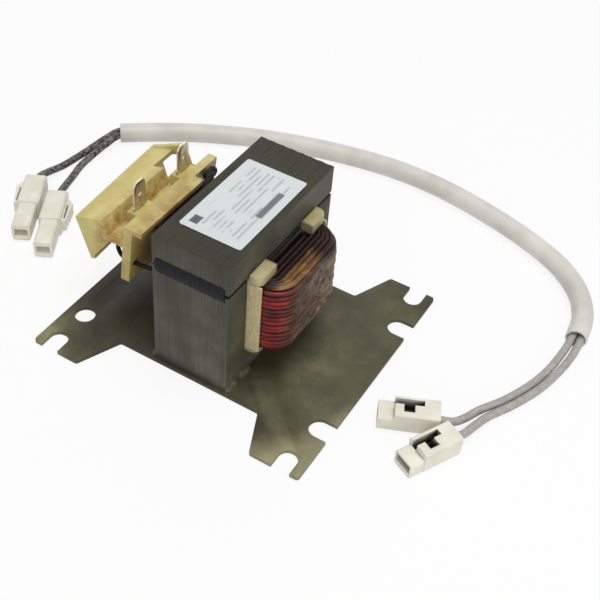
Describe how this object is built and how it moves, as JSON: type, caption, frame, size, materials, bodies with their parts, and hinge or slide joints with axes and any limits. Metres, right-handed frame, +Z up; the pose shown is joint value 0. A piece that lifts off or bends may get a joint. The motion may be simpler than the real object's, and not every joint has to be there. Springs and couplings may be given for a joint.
{
  "type": "air conditioner reactor",
  "caption": "Gapped iron-core reactor on a slotted mounting plate, with a bobbin-wound coil, push-on terminals in a moulded holder and a loose sleeved lead set.",
  "frame": {"origin": "middle of the mounting plate's outline, on its bottom face", "axes": "+X across the lamination stack, away from the terminals; +Y along the laminations, towards the loop of the loose leads; +Z up from the plate"},
  "size_m": [0.2265, 0.1666, 0.058],
  "materials": {
    "plate_steel": "dull galvanised",
    "weld_steel": "varnished weld bead",
    "core_steel": "varnished lamination edges",
    "gap_sheet": "dark fibre sheet",
    "cream_moulding": "satin moulding",
    "enamelled_wire": "red-brown enamel under varnish",
    "insulation_sheet": "pressboard",
    "tinned_metal": "tinned",
    "black_sleeving": "matt",
    "label_film": "semi-matt",
    "pale_sleeving": "soft sheen",
    "grey_insulation": "satin",
    "ivory_moulding": "satin moulding"
  },
  "bodies": {
    "root": {"base_plate": "plate_steel", "plate_welds": "weld_steel", "e_stack": "core_steel", "i_stack": "core_steel", "gap_spacer": "gap_sheet", "seam_weld_near": "weld_steel", "seam_weld_far": "weld_steel", "bobbin": "cream_moulding", "coil": "enamelled_wire", "liner_near": "insulation_sheet", "liner_far": "insulation_sheet", "terminal_holder": "cream_moulding", "tab_near": "tinned_metal", "tab_far": "tinned_metal", "lead_near": "black_sleeving", "lead_far": "black_sleeving", "label": "label_film", "sleeve": "pale_sleeving", "wire_a": "grey_insulation", "wire_b": "grey_insulation", "housing_left_a": "ivory_moulding", "housing_left_b": "ivory_moulding", "housing_right_a": "ivory_moulding", "housing_right_b": "ivory_moulding", "receptacle_left_a": "tinned_metal", "receptacle_left_b": "tinned_metal", "receptacle_right_a": "tinned_metal", "receptacle_right_b": "tinned_metal"}
  },
  "joints": []
}
